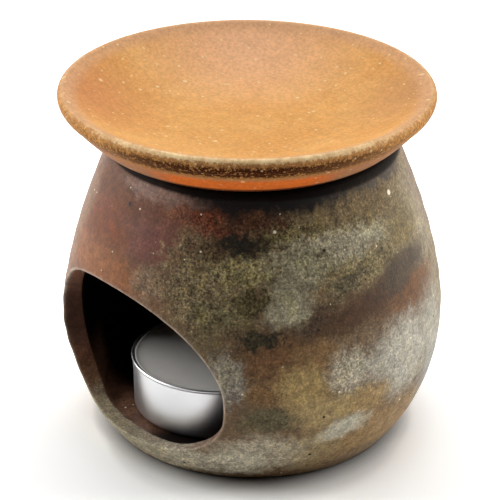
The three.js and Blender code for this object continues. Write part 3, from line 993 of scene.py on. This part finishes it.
def orange_clay():
    """The same clay fired clean: ochre orange, pinker at the back and browner at the sides, with cream specks
    of grog, a painted highlight along the lip and on the rim's crest, a toasted and crusted brown edge, and
    an underside that is flushed in front and has painted shade near the pot."""
    material, tree, shader = new_material("orange_stoneware")
    place = add(tree, "TexCoord", output="Object")
    grains = {}
    for name, size, detail in (
        ("cloud", 16, 4.0),
        ("grain", 0.7, 3.0),
        ("clots", 3, 4.0),
        ("crumbs", 0.8, 6.0),
    ):
        settings = {"Scale": 1 / (size * mm), "Detail": detail, "Roughness": 0.65}
        grains[name] = add(tree, "TexNoise", settings, {"Vector": place})
    where = {}
    for name in ("underside", "flushed", "underside_painted_shade", "crest_painted_highlight", "lip_painted_highlight", "toasted"):
        where[name] = add(tree, "Attribute", {"attribute_name": name}, output="Fac")

    def near(azimuth, distance, reach):
        """A soft patch of the dish at an azimuth and a distance from its axis."""
        turn = math.radians(azimuth)
        centre = (
            (dish_place[0] + distance * math.sin(turn)) * mm,
            (dish_place[1] - distance * math.cos(turn)) * mm,
            dish_patch_height * mm,
        )
        gap = add(tree, "VectorMath", {"operation": "DISTANCE", 1: centre}, {0: place}, "Value")
        return add(tree, "MapRange", {**smoothstep, 1: reach * mm, 2: 0.0}, {0: gap})

    clouded = add(tree, "MapRange", {**smoothstep, 1: 0.35, 2: 0.65}, {0: grains["cloud"]})
    ochres = {"data_type": "RGBA", mix_base: linear("#d99d58"), mix_over: linear("#e1a965")}
    colour = add(tree, "Mix", ochres, {mix_factor: clouded}, mix_result)
    # Patches that break up the painted highlight on the lip.
    highlight_patches = add(tree, "MapRange", {**smoothstep, 1: 0.35, 2: 0.6, 3: 0.5, 4: 1.0}, {0: grains["clots"]})
    layers = [
        ("#ecb588", near(232, 34, 34)),
        ("#ca8854", near(-42, 38, 26)),
        ("#c28d5a", near(147, 38, 22)),
        ("#b98058", where["underside"]),
        ("#ec772c", where["flushed"]),
        # painted shade on the underside near the pot, and on the foot
        ("#120805", where["underside_painted_shade"]),
        # painted highlight on the rim's crest
        ("#d3a278", where["crest_painted_highlight"]),
        # painted highlight along the lip
        ("#ffdea8", add(tree, "Math", {"operation": "MULTIPLY"}, {0: where["lip_painted_highlight"], 1: highlight_patches})),
    ]
    band = where["toasted"]
    ragged = add(tree, "Math", {"operation": "MULTIPLY_ADD", 1: 3.6, 2: -1.8}, {0: grains["crumbs"]})
    patchy = add(tree, "Math", {"operation": "ADD"}, {0: band, 1: ragged})
    front = add(tree, "MapRange", {**smoothstep, 1: 0.0, 2: 1.0, 3: 0.65, 4: 1.0}, {0: near(50, 38, 44)})
    inside_band = add(tree, "MapRange", {**smoothstep, 1: 0.0, 2: 0.15}, {0: band})
    for low, high, hex_colour in ((0.05, 0.4, "#c0874f"), (0.45, 0.95, "#3d1804")):
        toasted = add(tree, "MapRange", {**smoothstep, 1: low, 2: high}, {0: patchy})
        for share in (front, inside_band):
            toasted = add(tree, "Math", {"operation": "MULTIPLY"}, {0: toasted, 1: share})
        layers.append((hex_colour, toasted))
    crust = add(tree, "MapRange", {**smoothstep, 1: 0.53, 2: 0.64}, {0: grains["crumbs"]})
    for low, high in ((1.1, 0.5), (0.0, 0.2)):
        share = add(tree, "MapRange", {**smoothstep, 1: low, 2: high}, {0: band})
        crust = add(tree, "Math", {"operation": "MULTIPLY"}, {0: crust, 1: share})
    layers.append(("#d0935c", crust))
    colour = layered(tree, colour, layers)
    for name, dark, light in (("clots", 0.94, 1.05), ("grain", 0.88, 1.1)):
        factor = add(tree, "MapRange", {**smoothstep, 1: 0.3, 2: 0.7, 3: dark, 4: light}, {0: grains[name]})
        colour = add(tree, "VectorMath", {"operation": "SCALE"}, {0: colour, "Scale": factor})
    small_grog = specks(tree, place, 1.7 * mm, 0.7, 0.26)
    large_grog = specks(tree, place, 4.0 * mm, 0.5, 0.17)
    grog = add(tree, "Math", {"operation": "MAXIMUM"}, {0: small_grog, 1: large_grog})
    shown = add(tree, "MapRange", {**smoothstep, 1: 0.0, 2: 1.0, 3: 0.0, 4: 0.65}, {0: grog})
    colour = layered(tree, colour, [("#f3d5a2", shown)])
    relief = add(tree, "Math", {"operation": "ADD"}, {0: grains["grain"], 1: grog})
    relief = add(tree, "Math", {"operation": "MULTIPLY_ADD", 1: 2.5}, {0: crust, 2: relief})
    bump = add(tree, "Bump", {"Strength": 0.25, "Distance": 0.2 * mm}, {"Height": relief})
    roughness = add(tree, "MapRange", {**smoothstep, 1: 0.0, 2: 1.0, 3: 0.6, 4: 0.5}, {0: toasted})
    gloss = add(tree, "MapRange", {**smoothstep, 1: 0.0, 2: 0.6, 3: dish_gloss, 4: toasted_gloss}, {0: band})
    tree.links.new(shader.inputs["Base Color"], colour)
    tree.links.new(shader.inputs["Roughness"], roughness)
    tree.links.new(shader.inputs["Normal"], bump)
    shader.inputs["Specular IOR Level"].default_value = dish_gloss
    tree.links.new(shader.inputs["Specular IOR Level"], gloss)
    return material


def only(**marked):
    """One value for each point of the dish's profile: those given for some of its parts, 0 for the others."""
    return np.concatenate(
        [marked.get(part, 0.0) + np.zeros(len(points)) for part, points in dish_parts.items()]
    )


def hump(values, low, high, soft):
    """1 between low and high, falling to 0 within soft on either side."""
    return np.minimum(fade(values, low - soft, low), fade(values, high + soft, high))


# The dish's front is where the flame came from; the painted highlight on the lip is strongest there, and
# the painted shade on the underside weakest. rim_turn runs over the rim from the outside to the inside,
# and rising runs up the underside.
front_azimuth = math.radians(52)
facing_front = np.cos(np.linspace(0, 2 * np.pi, dish_sides + 1)[:, None] - front_azimuth)
under_band = fade(rising, 0.72, 0.97)
toasted_front = only(rim=fade(rim_turn[1:], 50, -4), underside=under_band)
toasted_side = np.minimum(only(rim=fade(rim_turn[1:], 78, 18), underside=under_band), 0.6)
toasted_band = toasted_side + (toasted_front - toasted_side) * fade(facing_front, 0.5, 0.85)
# Painted highlight along the lip, strongest at the front.
lip_painted_highlight = np.maximum(fade(facing_front, 0.45, 0.9), 0.2) * only(rim=hump(rim_turn[1:], 42, 82, 16))
# Painted highlight on the rim's crest and at the top of the well.
crest_painted_highlight = 0.8 * only(rim=hump(rim_turn[1:], 80, 120, 25), well=fade(np.arange(len(well) - 1), 4, 0))
flushed = fade(facing_front, 0.82, 0.92) * only(underside=fade(rising, 0.85, 0.7))
# Painted shade on the foot and on the underside near the pot, reaching higher away from the front.
underside_painted_shade = np.minimum(only(foot=0.9, underside=fade(rising, 0.32, 0.2)), 0.9)
underside_painted_shade = underside_painted_shade + fade(facing_front, 0.9, -0.1) * np.minimum(only(underside=fade(rising, 0.55, 0.3)), 0.9)
dish = joined_piece(
    "stoneware_dish",
    [turned(dish_profile, dish_place, dish_sides)],
    {
        "toasted": [toasted_band],
        "lip_painted_highlight": [lip_painted_highlight],
        "crest_painted_highlight": [crest_painted_highlight],
        "underside": [only(foot=1.0, underside=1.0)],
        "flushed": [flushed],
        "underside_painted_shade": [np.minimum(underside_painted_shade, 0.92)],
    },
)
dish.data.materials.append(orange_clay())
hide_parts("tea_dish")
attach(dish, "dish")

# TABLE AND LIGHT
# The burner stands on a white table in a white tent that is open, and dark, on the camera's side. A soft
# lamp shines through each of the tent's side walls and a weaker one through its roof.
table_half = 3.0
table_mesh = bpy.data.meshes.new("table_top")
table_corners = [(-1, -1), (1, -1), (1, 1), (-1, 1)]
table_mesh.from_pydata([(x * table_half, y * table_half, 0) for x, y in table_corners], [], [(0, 1, 2, 3)])
table = bpy.data.objects.new("table_top", table_mesh)
scene.collection.objects.link(table)

# The camera and mirrors see a table that is white but for a contact shadow, which reaches farther on the
# camera's side. Light that bounces up to the burner comes from plain white paint.
seen_white = (1.5, 1.5, 1.49, 1.0)
camera_side = (math.sin(camera_azimuth), -math.cos(camera_azimuth), 0.0)
table_paint, table_tree, table_shader = new_material("white_table")
camera_ray = add(table_tree, "LightPath", output="Is Camera Ray")
glossy_ray = camera_ray.node.outputs["Is Glossy Ray"]
table_seen = add(table_tree, "Math", {"operation": "MAXIMUM"}, {0: camera_ray, 1: glossy_ray})
table_place = add(table_tree, "TexCoord", output="Object")
table_front = add(
    table_tree, "VectorMath", {"operation": "DOT_PRODUCT", 1: camera_side}, {0: table_place}, "Value"
)
shaded = add(table_tree, "MapRange", {1: 15 * mm, 2: 40 * mm, 3: 4 * mm, 4: 9.5 * mm}, {0: table_front})
table_contact = add(table_tree, "AmbientOcclusion", {"Color": seen_white}, {"Distance": shaded}, "Color")
table_colour = add(
    table_tree,
    "Mix",
    {"data_type": "RGBA", mix_base: linear("#f3f3f2")},
    {mix_factor: table_seen, mix_over: table_contact},
    mix_result,
)
table_tree.links.new(table_shader.inputs["Base Color"], table_colour)
table_shader.inputs["Roughness"].default_value = 0.6
table_shader.inputs["Specular IOR Level"].default_value = 0.2
table.data.materials.append(table_paint)

tent_light = 0.12
open_side_light = 0.04
open_side = (math.sin(camera_azimuth), -math.cos(camera_azimuth), 0.25)
world = bpy.data.worlds.new("white_tent")
scene.world = world
world.use_nodes = True
sky = world.node_tree
background = sky.nodes["Background"]
direction = add(sky, "TexCoord", output="Generated")
facing = add(sky, "VectorMath", {"operation": "DOT_PRODUCT", 1: open_side}, {0: direction}, "Value")
tent_wall = add(sky, "MapRange", {**smoothstep, 1: 0.3, 2: 0.75, 3: 1.0, 4: open_side_light}, {0: facing})
mirror_ray = add(sky, "LightPath", output="Is Glossy Ray")
glass_ray = mirror_ray.node.outputs["Is Transmission Ray"]
mirrored = add(sky, "Math", {"operation": "MAXIMUM"}, {0: mirror_ray, 1: glass_ray})
tent_level = add(sky, "MapRange", {1: 0.0, 2: 1.0, 3: tent_light, 4: 1.0}, {0: mirrored})
lit = add(sky, "Math", {"operation": "MULTIPLY"}, {0: tent_wall, 1: tent_level})
seen_ray = mirror_ray.node.outputs["Is Camera Ray"]
strength = add(sky, "Math", {"operation": "MAXIMUM"}, {0: lit, 1: seen_ray})
sky.links.new(background.inputs["Strength"], strength)
background.inputs["Color"].default_value = (1.0, 1.0, 1.0, 1.0)

# azimuth from -Y towards +X and elevation in degrees, distance and width in m, light on a facing surface
lamps = {
    "left_softbox": (-52, 26, 1.2, 0.8, 0.85),
    "right_softbox": (156, 26, 1.2, 0.8, 0.8),
    "roof_softbox": (232, 75, 1.2, 0.8, 0.45),
}
for name, (azimuth, elevation, distance, width, facing_light) in lamps.items():
    softbox = bpy.data.lights.new(name, "AREA")
    softbox.shape = "SQUARE"
    softbox.size = width
    softbox.energy = facing_light * (math.pi * distance) ** 2
    lamp = bpy.data.objects.new(name, softbox)
    lamp.matrix_world = (
        Matrix.Rotation(math.radians(azimuth), 4, "Z")
        @ Matrix.Rotation(math.radians(90 - elevation), 4, "X")
        @ Matrix.Translation((0, 0, distance))
    )
    scene.collection.objects.link(lamp)
